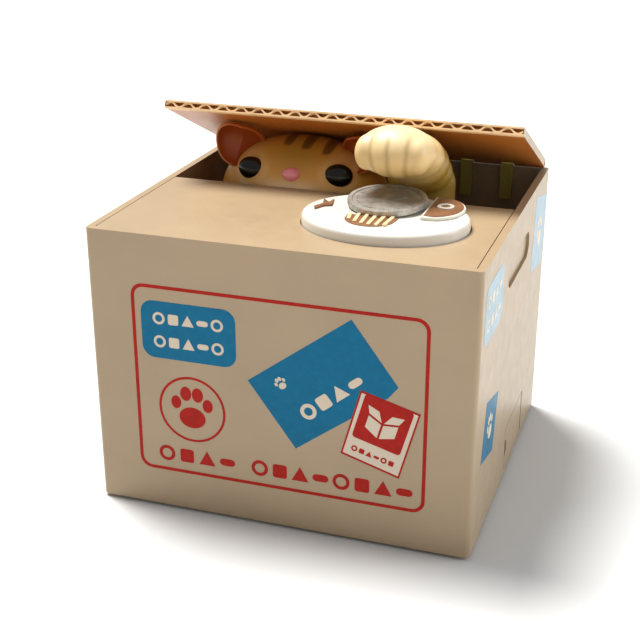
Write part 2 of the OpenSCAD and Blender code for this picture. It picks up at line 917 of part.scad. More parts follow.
front_wall();
rear_wall();
left_wall();
right_wall();
top_deck();
base_plate();
rubber_feet();
case_screws();
battery_case();
battery_cells();
battery_contacts();
battery_door();
battery_door_screw();
circuit_board();
tray_switch();
speaker();
gear_frame_left();
gear_frame_right();
frame_spacers();
motor_can();
head_guide_rods();
paw_guide_rods();
paw_rail_stand();
coin_bin();
hatch_pin();
lid_hinge_brackets();
lid_hinge_pins();
lid_panel();
lid_front_edge();
head_front_shell();
head_rear_shell();
left_ear();
right_ear();
eyes();
nose();
head_carrier();
head_screws();
main_shaft();
head_pinion();
paw_pinion();
first_wheel();
first_shaft();
second_wheel();
second_shaft();
motor_pinion();
paw_carriage();
paw_core();
arm_left_shell();
arm_right_shell();
paw_mitt();
coin_tray();
tray_plunger();
fish_head();
fish_tail();
fish_ribs();
coin();
hatch_door();
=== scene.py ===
"""Looks of the carton-shaped coin bank with a cat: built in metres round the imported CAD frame."""

import json
import math

import bmesh
import bpy
from mathutils import Matrix, Vector


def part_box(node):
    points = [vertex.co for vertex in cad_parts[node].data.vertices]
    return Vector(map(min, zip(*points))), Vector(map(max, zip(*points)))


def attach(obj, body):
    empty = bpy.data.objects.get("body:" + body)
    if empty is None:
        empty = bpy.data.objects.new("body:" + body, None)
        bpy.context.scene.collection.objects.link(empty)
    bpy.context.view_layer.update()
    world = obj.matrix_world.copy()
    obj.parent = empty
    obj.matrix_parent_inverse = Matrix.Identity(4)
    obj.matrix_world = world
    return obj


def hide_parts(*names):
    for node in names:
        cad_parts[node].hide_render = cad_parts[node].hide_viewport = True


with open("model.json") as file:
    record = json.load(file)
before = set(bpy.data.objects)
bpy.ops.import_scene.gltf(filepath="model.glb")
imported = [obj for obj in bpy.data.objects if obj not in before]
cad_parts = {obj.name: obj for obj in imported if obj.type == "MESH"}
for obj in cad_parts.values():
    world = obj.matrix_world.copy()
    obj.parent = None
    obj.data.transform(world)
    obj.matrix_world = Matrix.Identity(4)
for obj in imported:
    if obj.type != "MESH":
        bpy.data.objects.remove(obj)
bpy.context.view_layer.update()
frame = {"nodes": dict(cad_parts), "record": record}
MM = 0.001

# ---- places taken from the frame, in millimetres ----


def low(node):
    return Vector(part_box(node)[0]) / MM


def high(node):
    return Vector(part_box(node)[1]) / MM


def middle(node):
    return (low(node) + high(node)) / 2


FRONT_Y = low("front_wall").y
RIGHT_X = high("right_wall").x
HEAD_LOW = low("head_front_shell")
HEAD_HIGH = high("head_rear_shell")
MITT = middle("paw_mitt")
ARM = middle("arm_left_shell")
TRAY = middle("coin_tray")
TRAY_TOP = high("coin_tray").z
LID_JOINT = next(j for j in frame["record"]["behaviour"]["joints"] if j["name"] == "lid_hinge")
HINGE = Vector(LID_JOINT["pos_m"]) / MM
LID_OPEN = math.radians(24.6)


def srgb(r, g, b):
    """Linear colour of an 8-bit sRGB one."""
    def line(v):
        v /= 255
        return v / 12.92 if v <= 0.04045 else ((v + 0.055) / 1.055) ** 2.4
    return (line(r), line(g), line(b), 1)


# ---- camera, light and floor ----

VIEW_AZIMUTH = math.radians(18.66)
VIEW_ELEVATION = math.radians(22.55)
VIEW_DISTANCE = 413.6
VIEW_TARGET = Vector((-4.95, 0, 47.04))
VIEW_LENS = 69.44


def make_camera():
    data = bpy.data.cameras.new("camera")
    data.lens = VIEW_LENS
    data.sensor_width = 36
    data.clip_start = 0.01
    data.clip_end = 20
    back = Vector((math.sin(VIEW_AZIMUTH) * math.cos(VIEW_ELEVATION),
                   -math.cos(VIEW_AZIMUTH) * math.cos(VIEW_ELEVATION), math.sin(VIEW_ELEVATION)))
    cam = bpy.data.objects.new("camera", data)
    cam.rotation_mode = "QUATERNION"
    cam.location = (VIEW_TARGET + back * VIEW_DISTANCE) * MM
    cam.rotation_quaternion = (-back).to_track_quat("-Z", "Y")
    bpy.context.scene.collection.objects.link(cam)
    bpy.context.scene.camera = cam


def area_light(name, place, target, size, power, colour=(1, 1, 1)):
    data = bpy.data.lights.new(name, "AREA")
    data.shape = "DISK"
    data.size = size
    data.energy = power
    data.color = colour
    lamp = bpy.data.objects.new(name, data)
    lamp.location = place
    lamp.rotation_mode = "QUATERNION"
    lamp.rotation_quaternion = (Vector(target) - Vector(place)).to_track_quat("-Z", "Y")
    bpy.context.scene.collection.objects.link(lamp)


def sun(name, towards, strength, spread, colour):
    data = bpy.data.lights.new(name, "SUN")
    data.energy = strength
    data.angle = spread
    data.color = colour
    lamp = bpy.data.objects.new(name, data)
    lamp.rotation_mode = "QUATERNION"
    lamp.rotation_quaternion = Vector(towards).to_track_quat("Z", "Y")
    bpy.context.scene.collection.objects.link(lamp)


WORLD_STRENGTH = 0.36
SUN_TOWARDS = (-0.42, 0.22, 1)
SUN_STRENGTH = 5.4
FLOOR_HALF = 3
FLOOR_GREY = 0.72


def make_studio():
    bpy.context.scene.view_settings.view_transform = "Standard"
    world = bpy.data.worlds.new("studio")
    world.use_nodes = True
    world.node_tree.nodes["Background"].inputs["Color"].default_value = (1, 1, 1, 1)
    world.node_tree.nodes["Background"].inputs["Strength"].default_value = WORLD_STRENGTH
    bpy.context.scene.world = world
    sun("key", SUN_TOWARDS, SUN_STRENGTH, math.radians(25), (1, 0.985, 0.95))
    area_light("right", (0.9, 0.15, 0.4), (0, 0, 0.04), 0.6, 3.6, (0.93, 0.97, 1))
    corners = [(x * FLOOR_HALF, y * FLOOR_HALF, 0) for x, y in ((-1, -1), (1, -1), (1, 1), (-1, 1))]
    floor = bpy.data.objects.new("floor", mesh_from("floor", corners, [(0, 1, 2, 3)]))
    bpy.context.scene.collection.objects.link(floor)
    mat = bpy.data.materials.new("floor")
    mat.use_nodes = True
    shader = mat.node_tree.nodes["Principled BSDF"]
    shader.inputs["Base Color"].default_value = (FLOOR_GREY, FLOOR_GREY, FLOOR_GREY, 1)
    shader.inputs["Roughness"].default_value = 0.7
    floor.data.materials.append(mat)


# ---- materials ----


def node(tree, kind, **values):
    made = tree.nodes.new(kind)
    for key, value in values.items():
        setattr(made, key, value)
    return made


GRAIN_DEPTH = 0.00004


def mottled(tree, colour_a, colour_b, scale, detail=4):
    """Colour that drifts between two tones over the object's own coordinates."""
    where = node(tree, "ShaderNodeTexCoord")
    cloud = node(tree, "ShaderNodeTexNoise")
    cloud.inputs["Scale"].default_value = scale
    cloud.inputs["Detail"].default_value = detail
    ramp = node(tree, "ShaderNodeValToRGB")
    ramp.color_ramp.elements[0].position = 0.3
    ramp.color_ramp.elements[1].position = 0.7
    ramp.color_ramp.elements[0].color = colour_a
    ramp.color_ramp.elements[1].color = colour_b
    tree.links.new(where.outputs["Object"], cloud.inputs["Vector"])
    tree.links.new(cloud.outputs["Fac"], ramp.inputs["Fac"])
    return ramp.outputs["Color"]


def toned(colour, amount):
    return tuple(min(1, c * amount) for c in colour[:3]) + (1,)


def grain(tree, shader, scale, strength, rough_low, rough_high):
    """Moulded texture: fine bump, with the roughness following a coarser pattern."""
    where = node(tree, "ShaderNodeTexCoord")
    fine = node(tree, "ShaderNodeTexNoise")
    fine.inputs["Scale"].default_value = scale
    fine.inputs["Detail"].default_value = 3
    coarse = node(tree, "ShaderNodeTexNoise")
    coarse.inputs["Scale"].default_value = scale / 14
    coarse.inputs["Detail"].default_value = 5
    bump = node(tree, "ShaderNodeBump")
    bump.inputs["Strength"].default_value = strength
    bump.inputs["Distance"].default_value = GRAIN_DEPTH
    spread = node(tree, "ShaderNodeMapRange")
    spread.inputs["From Min"].default_value = 0.3
    spread.inputs["From Max"].default_value = 0.7
    spread.inputs["To Min"].default_value = rough_low
    spread.inputs["To Max"].default_value = rough_high
    tree.links.new(where.outputs["Object"], fine.inputs["Vector"])
    tree.links.new(where.outputs["Object"], coarse.inputs["Vector"])
    tree.links.new(fine.outputs["Fac"], bump.inputs["Height"])
    tree.links.new(bump.outputs["Normal"], shader.inputs["Normal"])
    tree.links.new(coarse.outputs["Fac"], spread.inputs["Value"])
    tree.links.new(spread.outputs["Result"], shader.inputs["Roughness"])


def moulded(name, colour, rough=(0.32, 0.42), drift=0.05, mottle=45, fine=2600, bump=0.25, metal=0, coat=0,
            specular=0.5):
    """Moulded plastic or worn metal: a slightly drifting colour under a fine grain."""
    mat = bpy.data.materials.new(name)
    mat.use_nodes = True
    tree = mat.node_tree
    shader = tree.nodes["Principled BSDF"]
    drifting = mottled(tree, toned(colour, 1 - drift), toned(colour, 1 + drift), mottle)
    tree.links.new(drifting, shader.inputs["Base Color"])
    grain(tree, shader, fine, bump, *rough)
    shader.inputs["Metallic"].default_value = metal
    shader.inputs["Coat Weight"].default_value = coat
    shader.inputs["Specular IOR Level"].default_value = specular
    return mat


def painted(name, base, dark, pale, shade):
    """Airbrushed plastic with painted light: the mesh's paint attribute says where the dark, pale and shade
    coats go; the shade coat and parts of the dark and pale coats are painted shade and painted highlight.
    """
    mat = bpy.data.materials.new(name)
    mat.use_nodes = True
    tree = mat.node_tree
    shader = tree.nodes["Principled BSDF"]
    masks = node(tree, "ShaderNodeAttribute", attribute_name="paint")
    split = node(tree, "ShaderNodeSeparateColor")
    tree.links.new(masks.outputs["Color"], split.inputs["Color"])
    colour = mottled(tree, toned(base, 0.95), toned(base, 1.05), 60)
    for channel, coat in (("Green", pale), ("Blue", shade), ("Red", dark)):
        mix = node(tree, "ShaderNodeMix", data_type="RGBA")
        mix.inputs["B"].default_value = coat
        tree.links.new(split.outputs[channel], mix.inputs["Factor"])
        tree.links.new(colour, mix.inputs["A"])
        colour = mix.outputs["Result"]
    tree.links.new(colour, shader.inputs["Base Color"])
    grain(tree, shader, 2200, 0.2, 0.38, 0.5)
    return mat


TAN = srgb(173, 150, 119)
LOOKS = {
    "carton": dict(colour=TAN, rough=(0.30, 0.40), drift=0.04),
    "carton_inner": dict(colour=srgb(168, 160, 74), rough=(0.4, 0.55), drift=0.08),
    # The board colour, darker and more orange than the lid's tan, is painted shade: the warm shade under the
    # lid.
    "board": dict(colour=srgb(190, 112, 44), rough=(0.3, 0.38), mottle=30, bump=0.04),
    "fur": dict(colour=srgb(186, 140, 84)),
    "fur_pale": dict(colour=srgb(232, 204, 158)),
    "eye_black": dict(colour=srgb(14, 16, 14), rough=(0.1, 0.14), bump=0.01, specular=0.4),
    "nose_pink": dict(colour=srgb(255, 150, 165), rough=(0.12, 0.2), bump=0.05, coat=0.6),
    "tray_white": dict(colour=srgb(228, 223, 212), rough=(0.16, 0.26), drift=0.015, bump=0.06),
    "fish_brown": dict(colour=srgb(134, 92, 62), rough=(0.35, 0.5), drift=0.22, mottle=260),
    "coin_metal": dict(colour=srgb(176, 172, 164), rough=(0.34, 0.5), drift=0.22, mottle=420, fine=700,
                       bump=0.35, metal=0.75),
    "steel": dict(colour=srgb(190, 192, 196), rough=(0.2, 0.35), metal=1),
    "nylon": dict(colour=srgb(232, 230, 220), rough=(0.35, 0.5)),
    "frame_grey": dict(colour=srgb(72, 76, 74), rough=(0.45, 0.6), drift=0.1),
    "rubber": dict(colour=srgb(38, 38, 40), rough=(0.7, 0.85), drift=0.1, bump=0.5),
    "circuit_green": dict(colour=srgb(26, 92, 52), rough=(0.2, 0.3), drift=0.15, mottle=400),
    "contact_brass": dict(colour=srgb(208, 178, 104), rough=(0.2, 0.35), metal=1),
    "cell_sleeve": dict(colour=srgb(36, 92, 84), rough=(0.15, 0.25), drift=0.08),
    "black_plastic": dict(colour=srgb(30, 30, 32), rough=(0.4, 0.55), drift=0.15),
    "ink_red": dict(colour=srgb(172, 30, 20), drift=0.1, mottle=500, fine=3000, specular=0.12),
    "ink_blue": dict(colour=srgb(14, 108, 146), drift=0.07, mottle=500, fine=3000, specular=0.12),
    "ink_cream": dict(colour=srgb(216, 200, 178), rough=(0.3, 0.45), drift=0.04, fine=3000),
    "ink_pale_blue": dict(colour=srgb(150, 178, 192), rough=(0.3, 0.45), drift=0.07, fine=3000),
    "flute_paper": dict(colour=srgb(246, 208, 158), rough=(0.45, 0.6), drift=0.08, mottle=200),
    "flute_shadow": dict(colour=srgb(150, 92, 26), rough=(0.6, 0.8), drift=0.15, mottle=200),
    "lid_outside": dict(colour=TAN, rough=(0.30, 0.42)),
}
made_looks = {}


def look(slot):
    if slot not in made_looks:
        made_looks[slot] = moulded(slot, **LOOKS[slot])
    return made_looks[slot]


def dress_frame():
    """Every carried-over CAD node gets its slot's material, and the case parts get softened edges."""
    for part in frame["record"]["subparts"]:
        piece = frame["nodes"][part["node"]]
        piece.data.materials.clear()
        piece.data.materials.append(look(part["material_slot"]))
    for name, width in (("front_wall", 0.5), ("rear_wall", 0.5), ("left_wall", 0.35), ("right_wall", 0.35),
                        ("top_deck", 0.3), ("lid_panel", 0.25), ("hatch_door", 0.3)):
        soften = frame["nodes"][name].modifiers.new("soft edges", "BEVEL")
        soften.width = width * MM
        soften.segments = 2
        soften.limit_method = "ANGLE"
        soften.angle_limit = math.radians(50)
        soften.harden_normals = False


# ---- mesh helpers, all in millimetres ----


def finish_piece(name, mesh, body, slot, replaced=(), material=None, smooth=True):
    mesh.transform(Matrix.Scale(MM, 4))
    piece = bpy.data.objects.new(name, mesh)
    bpy.context.scene.collection.objects.link(piece)
    if smooth:
        mesh.polygons.foreach_set("use_smooth", [True] * len(mesh.polygons))
    mesh.materials.clear()
    mesh.materials.append(material or look(slot))
    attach(piece, body)
    if replaced:
        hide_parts(*replaced)
    return piece


def mesh_from(name, points, faces):
    mesh = bpy.data.meshes.new(name)
    mesh.from_pydata([tuple(p) for p in points], [], faces)
    mesh.validate()
    mesh.update()
    return mesh


def grid_mesh(name, rows):
    """A mesh through rows of points, each row a closed ring, with a flat cap on its first and last rows."""
    points = [p for row in rows for p in row]
    n = len(rows[0])
    faces = []
    for i in range(len(rows) - 1):
        for j in range(n):
            k = (j + 1) % n
            faces.append((i * n + j, i * n + k, (i + 1) * n + k, (i + 1) * n + j))
    faces.append(tuple(range(n))[::-1])
    faces.append(tuple((len(rows) - 1) * n + j for j in range(n)))
    return mesh_from(name, points, faces)


def ball_mesh(name, centre, radii, segments=96, rings=48, shape=None):
    """An ellipsoid, with shape(direction) as an optional scale of its radius."""
    rows = []
    for i in range(rings + 1):
        t = math.pi * (i + 0.02 * (i == 0) - 0.02 * (i == rings)) / rings
        row = []
        for j in range(segments):
            a = 2 * math.pi * j / segments
            d = Vector((math.sin(t) * math.cos(a), math.sin(t) * math.sin(a), -math.cos(t)))
            k = shape(d) if shape else 1
            row.append(Vector(centre) + Vector((d.x * radii[0], d.y * radii[1], d.z * radii[2])) * k)
        rows.append(row)
    return grid_mesh(name, rows)


def merged(name, meshes):
    bm = bmesh.new()
    for mesh in meshes:
        bm.from_mesh(mesh)
    out = bpy.data.meshes.new(name)
    bm.to_mesh(out)
    bm.free()
    return out


def fused(name, meshes, voxel, smooth_steps):
    """One skin round overlapping meshes, by voxel remesh and smoothing."""
    mesh = merged(name, meshes)
    work = bpy.data.objects.new(name + "_work", mesh)
    bpy.context.scene.collection.objects.link(work)
    skin = work.modifiers.new("skin", "REMESH")
    skin.mode = "VOXEL"
    skin.voxel_size = voxel
    soft = work.modifiers.new("soft", "SMOOTH")
    soft.factor = 0.5
    soft.iterations = smooth_steps
    shown = work.evaluated_get(bpy.context.evaluated_depsgraph_get())
    out = bpy.data.meshes.new_from_object(shown)
    bpy.data.objects.remove(work)
    return out


def paint(mesh, masks):
    """Stores masks(point) = (dark, pale, shade), each 0 to 1, on the mesh."""
    layer = mesh.color_attributes.new("paint", "FLOAT_COLOR", "POINT")
    for i, v in enumerate(mesh.vertices):
        layer.data[i].color = tuple(max(0, min(1, m)) for m in masks(v.co)) + (1,)


def step(edge, soft, value):
    """0 below edge, 1 above it, with a soft change."""
    t = max(0, min(1, (value - edge) / soft + 0.5))
    return t * t * (3 - 2 * t)


# ---- outlines, and thin films printed on the faces ----


def arc(cx, cy, r, start, end, steps):
    return [(cx + r * math.cos(math.radians(start + (end - start) * i / steps)),
             cy + r * math.sin(math.radians(start + (end - start) * i / steps))) for i in range(steps + 1)]


def rounded(x0, y0, x1, y1, r, steps=6):
    return (arc(x1 - r, y0 + r, r, -90, 0, steps) + arc(x1 - r, y1 - r, r, 0, 90, steps)
            + arc(x0 + r, y1 - r, r, 90, 180, steps) + arc(x0 + r, y0 + r, r, 180, 270, steps))


def disc(cx, cy, rx, ry=None, steps=28):
    ry = rx if ry is None else ry
    return [(cx + rx * math.cos(2 * math.pi * i / steps), cy + ry * math.sin(2 * math.pi * i / steps))
            for i in range(steps)]


def bar(x0, y0, x1, y1, width, steps=5):
    """A stroke with round ends."""
    a = math.degrees(math.atan2(y1 - y0, x1 - x0))
    r = width / 2
    return arc(x1, y1, r, a - 90, a + 90, steps) + arc(x0, y0, r, a + 90, a + 270, steps)


def turned(outline, angle, x, y):
    c, s = math.cos(math.radians(angle)), math.sin(math.radians(angle))
    return [(x + px * c - py * s, y + px * s + py * c) for px, py in outline]


def prism(outline, place, base, top):
    """Points and faces of an outline raised from base to top; place(u, v, w) puts a point in the object."""
    n = len(outline)
    points = [place(u, v, base) for u, v in outline] + [place(u, v, top) for u, v in outline]
    faces = [tuple(range(n))[::-1], tuple(range(n, 2 * n))]
    faces += [(i, (i + 1) % n, n + (i + 1) % n, n + i) for i in range(n)]
    return points, faces


def ring_prism(outer, inner, place, base, top):
    """The same for a band between two outlines with as many points each."""
    n = len(outer)
    points = [place(u, v, w) for w in (base, top) for line in (outer, inner) for u, v in line]
    faces = []
    for i in range(n):
        k = (i + 1) % n
        faces += [(i, n + i, n + k, k), (2 * n + i, 2 * n + k, 3 * n + k, 3 * n + i),
                  (i, k, 2 * n + k, 2 * n + i), (n + i, 3 * n + i, 3 * n + k, n + k)]
    return points, faces


def solids_mesh(name, solids):
    points = []
    faces = []
    for more_points, more_faces in solids:
        start = len(points)
        points += more_points
        faces += [tuple(start + i for i in f) for f in more_faces]
    mesh = mesh_from(name, points, faces)
    bm = bmesh.new()
    bm.from_mesh(mesh)
    bmesh.ops.recalc_face_normals(bm, faces=bm.faces)
    bm.to_mesh(mesh)
    bm.free()
    return mesh


def on_front(u, v, w):
    return Vector((u, FRONT_Y - w, v))


def on_right(u, v, w):
    return Vector((RIGHT_X + w, u, v))


def on_left(u, v, w):
    return Vector((-RIGHT_X - w, -u, v))


FILM = 0.04


def film(name, solids, ink):
    finish_piece(name, solids_mesh(name, solids), "root", "carton", material=look(ink), smooth=False)


def print_layer(outlines, place, level):
    """Films of one layer of print: level 0 lies on the wall, and each next level on the one below."""
    return [prism(o, place, FILM * level, FILM * (level + 1)) for o in outlines]


def paw_print(x, y, size, angle=0):
    """A pad and four toes."""
    toes = [(-0.62, 0.28, 0.2), (-0.23, 0.66, 0.22), (0.23, 0.66, 0.22), (0.62, 0.28, 0.2)]
    pad = disc(0, -0.28 * size, 0.52 * size, 0.42 * size)
    shapes = [pad] + [disc(tx * size, ty * size, tr * size, tr * 1.3 * size) for tx, ty, tr in toes]
    return [turned(s, angle, x, y) for s in shapes]


def shape_row(x0, x1, y0, y1, count, line):
    """A row of plain shapes in turn: ring, block, triangle and pill."""
    marks = []
    pitch = (x1 - x0) / count
    half = (y1 - y0) / 2
    for i in range(count):
        cx = x0 + pitch * (i + 0.5)
        cy = (y0 + y1) / 2
        r = min(half, pitch * 0.42)
        kind = i % 4
        if kind == 0:
            marks += band(disc(cx, cy, r), disc(cx, cy, r - line))
        elif kind == 1:
            marks.append(rounded(cx - r * 0.85, cy - r * 0.85, cx + r * 0.85, cy + r * 0.85, r * 0.3, 3))
        elif kind == 2:
            marks.append([(cx - r, cy - r * 0.8), (cx + r, cy - r * 0.8), (cx, cy + r)])
        else:
            marks.append(bar(cx - r * 0.5, cy, cx + r * 0.5, cy, r * 0.9))
    return marks


def band(outer, inner):
    """The area between two outlines of as many points, as four-sided pieces."""
    n = len(outer)
    return [[outer[i], outer[(i + 1) % n], inner[(i + 1) % n], inner[i]] for i in range(n)]


def carton_mark(x, y, size, angle):
    """A plain open carton seen from a corner."""
    left = [(-0.8, 0.2), (-0.06, -0.05), (-0.06, -0.85), (-0.8, -0.5)]
    right = [(0.06, -0.05), (0.8, 0.2), (0.8, -0.5), (0.06, -0.85)]
    left_flap = [(-0.8, 0.32), (-0.06, 0.07), (-0.35, 0.62), (-0.98, 0.75)]
    right_flap = [(0.06, 0.07), (0.8, 0.32), (0.98, 0.75), (0.35, 0.62)]
    shapes = [[(px * size, py * size) for px, py in s] for s in (left, right, left_flap, right_flap)]
    return [turned(s, angle, x, y) for s in shapes]


def print_front():
    outer, inner = rounded(-46, 13.5, 46, 75.5, 4), rounded(-44.9, 14.6, 44.9, 74.4, 3)
    film("front_red_frame", [ring_prism(outer, inner, on_front, 0, FILM)], "ink_red")
    film("front_blue_sign", print_layer([rounded(-43, 52, -12.5, 70.5, 4)], on_front, 0), "ink_blue")
    marks = shape_row(-39.5, -16, 62.9, 67.1, 5, 0.8) + shape_row(-39.5, -16, 55.4, 59.6, 5, 0.8)
    film("front_sign_marks", print_layer(marks, on_front, 1), "ink_cream")

    label = [(6, 28.5), (34.2, 49.6), (37.2, 53.4), (23, 72.5), (-9, 48.8)]
    film("front_blue_label", print_layer([label], on_front, 0), "ink_blue")
    tilt = 38.5
    marks = [turned(s, tilt, 17.2, 47.2) for s in shape_row(-12.2, 12.2, -3, 3, 4, 1.2)]
    marks += paw_print(1.6, 49.2, 2.4, tilt)
    film("front_label_marks", print_layer(marks, on_front, 1), "ink_cream")

    sticker = [(20, 29.5), (38, 24), (44, 46), (26, 51)]
    centre = (32, 37.6)
    inner = [tuple(c + (v - c) * 0.94 for v, c in zip(corner, centre)) for corner in sticker]
    film("front_sticker_edge", [ring_prism(sticker, inner, on_front, FILM, 2 * FILM)], "ink_red")
    layers = print_layer([sticker], on_front, 0) + print_layer([inner], on_front, 1)
    film("front_sticker", layers, "ink_cream")
    square = turned(rounded(-7.6, -7.2, 7.6, 7.8, 1), -16, 32.7, 40.6)
    marks = [turned(s, -16, 29.9, 30.2) for s in shape_row(-7, 7, -1.2, 1.2, 6, 0.5)]
    film("front_sticker_red", print_layer([square] + marks, on_front, 2), "ink_red")
    film("front_sticker_carton", print_layer(carton_mark(32.7, 41, 5.8, -16), on_front, 3), "ink_cream")

    badge = ring_prism(disc(-27.5, 36, 11, 11, 40), disc(-27.5, 36, 10.2, 10.2, 40), on_front, 0, FILM)
    film("front_red_badge", [badge] + print_layer(paw_print(-27.5, 35.6, 8.4), on_front, 0), "ink_red")
    row = shape_row(-40, -13, 17, 22.4, 4, 1.1) + shape_row(-9, 43, 17, 22.4, 8, 1.1)
    film("front_red_row", print_layer(row, on_front, 0), "ink_red")


def print_side():
    film("side_blue_sign", print_layer([rounded(-50, 66, -24, 84, 4)], on_right, 0), "ink_pale_blue")
    marks = shape_row(-47.5, -26.5, 76.5, 80.5, 4, 0.8) + shape_row(-47.5, -26.5, 69.5, 73.5, 4, 0.8)
    film("side_sign_marks", print_layer(marks, on_right, 1), "ink_cream")
    label = [(27, 62), (50, 58), (54, 82), (31, 87)]
    film("side_blue_label", print_layer([label], on_right, 0), "ink_pale_blue")
    film("side_label_paw", print_layer(paw_print(40.5, 72, 6.5, 10), on_right, 1), "ink_cream")
    sticker = [(-45, 27), (-27, 23), (-22, 41), (-40, 45)]
    film("side_sticker", print_layer([sticker], on_right, 0), "ink_blue")
    film("side_sticker_paw", print_layer(paw_print(-33.5, 34, 5, 12), on_right, 1), "ink_cream")
    film("left_side_sign", print_layer([rounded(-18, 26, 18, 50, 4)], on_left, 0), "ink_blue")
    film("left_side_paw", print_layer(paw_print(0, 38, 7), on_left, 1), "ink_cream")


# ---- cat ----


# The fur's shade coat and part of its pale coat are painted light: painted shade on the top of the head and a
# painted highlight on the muzzle.
FUR_COATS_AND_LIGHT = dict(base=srgb(222, 160, 62), dark=srgb(74, 42, 12), pale=srgb(250, 216, 166),
                 shade=srgb(150, 112, 34))
# The ear's dark and shade coats are painted shade, matched to the shaded underside of the lid.
EAR_COATS_AND_SHADE = dict(base=srgb(190, 120, 40), dark=srgb(120, 50, 8), pale=srgb(236, 204, 150),
                 shade=srgb(168, 70, 10))
# The paw's pale coat is a painted highlight, and its shade coat and part of its dark coat are painted shade.
PAW_COATS_AND_LIGHT = dict(base=srgb(228, 194, 134), dark=srgb(122, 92, 30), pale=srgb(238, 214, 166),
                 shade=srgb(172, 138, 52))
HEAD_TALL = 19.6
EYE_Z = 94.5
MUZZLE_Z = 90.5
# Where each stripe starts beside the middle of the head, how far it leans, and the height where it ends
STRIPES = ((-3.6, 0.3, 102.5), (3.4, 0.6, 101.9), (10.8, 0.8, 100.7))
STRIPE_TOP = 104.5


def head_surface(d):
    """A plain broad head with a low muzzle of two lobes."""
    across, up, tall = 0.15, 0.26, 0.1
    lobes = sum(math.exp(-((d.x - side * across) / 0.12) ** 2 - ((d.z - up) / tall) ** 2) for side in (-1, 1))
    return 1 + 0.04 * lobes * (d.y < 0)


def make_head():
    centre = Vector(((HEAD_LOW.x + HEAD_HIGH.x) / 2, (HEAD_LOW.y + HEAD_HIGH.y) / 2, HEAD_HIGH.z - HEAD_TALL))
    radii = ((HEAD_HIGH.x - HEAD_LOW.x) / 2, (HEAD_HIGH.y - HEAD_LOW.y) / 2, HEAD_TALL)
    head = ball_mesh("cat_head", centre, radii, 220, 130, head_surface)
    bm = bmesh.new()
    bm.from_mesh(head)
    every = bm.verts[:] + bm.edges[:] + bm.faces[:]
    cut = bmesh.ops.bisect_plane(bm, geom=every, plane_co=(0, 0, HEAD_LOW.z), plane_no=(0, 0, -1),
                                 clear_outer=True)
    bmesh.ops.holes_fill(bm, edges=[e for e in cut["geom_cut"] if isinstance(e, bmesh.types.BMEdge)])
    bmesh.ops.triangulate(bm, faces=[f for f in bm.faces if len(f.verts) > 4])
    bm.to_mesh(head)
    bm.free()
    mid = centre.x

    def masks(p):
        dark = 0
        for start, lean, foot in STRIPES:
            along = max(0, min(1, (STRIPE_TOP - p.z) / (STRIPE_TOP - foot)))
            across = abs(p.x - (mid + start - lean * along))
            inside = step(0, 0.7, 1.8 * (1 - 0.35 * along ** 3) - across)
            dark = max(dark, inside * step(foot, 0.8, p.z) * (p.y < 24))
        face = p.y < centre.y
        # Pale muzzle coat, partly the muzzle's own cream and partly a painted highlight along the deck line,
        # where the muzzle catches the light.
        muzzle = 0.95 * math.exp(-(((p.x - mid) / 12) ** 2 + ((p.z - MUZZLE_Z) / 2.6) ** 2)) * face
        around = min(math.hypot(p.x - e, p.z - EYE_Z + 0.2) for e in (mid - 14.6, mid + 15.2))
        socket = 0.35 * math.exp(-((around - 5) / 1.6) ** 2) * face
        # Painted shade: the shade coat darkens the top middle of the head under the lid.
        top_shade = 0.75 * math.exp(-(((p.x - mid) / 17) ** 2)) * step(96.5, 8, p.z)
        return 0.8 * dark, max(muzzle, socket), top_shade

    paint(head, masks)
    finish_piece("cat_head", head, "head", "fur", ("head_front_shell", "head_rear_shell"),
                 painted("painted_fur", **FUR_COATS_AND_LIGHT))


# The ear's section: share of its radius, and how far it lies behind the middle of the cup
EAR_SECTION = [(0.0, 3.0), (0.5, 2.8), (0.8, 1.6), (0.95, 0.2), (1.0, -1.6), (0.97, -2.3), (0.92, -2.5),
               (0.87, -2.2), (0.82, -1.0), (0.65, 0.7), (0.35, 1.5), (0.0, 1.8)]


def pinna(name, node_name, side, material):
    """A cat's ear: a cup with a rounded corner at its tip, whose rim falls back where it meets the head."""
    spot = middle(node_name)
    size = (high(node_name).x - low(node_name).x) / 2
    tip = math.radians(90 - side * 42)
    inward = math.radians(90 + side * 108)

    def outline(a):
        return size * (0.97 + 0.2 * max(0, math.cos(a - tip)) ** 5)

    def fall(a, share):
        return 8 * max(0, math.cos(a - inward)) * share

    steps = 96
    turns = [2 * math.pi * j / steps for j in range(steps)]
    rows = []
    for r, y in EAR_SECTION:
        rows.append([spot + Vector((max(r, 0.01) * outline(a) * math.cos(a), y + fall(a, r),
                                    max(r, 0.01) * outline(a) * math.sin(a))) for a in turns])
    mesh = grid_mesh(name, rows)

    def masks(p):
        a = math.atan2(p.z - spot.z, p.x - spot.x)
        share = math.hypot(p.x - spot.x, p.z - spot.z) / outline(a)
        front = p.y - spot.y - fall(a, share) < 1.9
        # Painted shade: the dark coat in the hollow (partly the ear's darker inner coat) and the shade coat
        # over the front match the shaded underside of the lid; the hollow is less dark towards the bottom.
        hollow = step(0, 0.05, 0.9 - share) * front
        less_shade_below = step(0, 8, spot.z - p.z + 2)
        outer_rim = (1 - hollow) * step(0.45, 0.4, -math.cos(a)) * (side < 0)
        return 0.75 * hollow * (1 - 0.7 * less_shade_below), 0.8 * outer_rim, max(hollow, 0.7 * front)

    paint(mesh, masks)
    smooth_more(finish_piece(name, mesh, "head", "fur", (node_name,), material))


def make_ears():
    material = painted("painted_ear", **EAR_COATS_AND_SHADE)
    pinna("cat_left_ear", "left_ear", -1, material)
    pinna("cat_right_ear", "right_ear", 1, material)


def smooth_more(piece):
    finer = piece.modifiers.new("smooth", "SUBSURF")
    finer.levels = 1
    finer.render_levels = 1


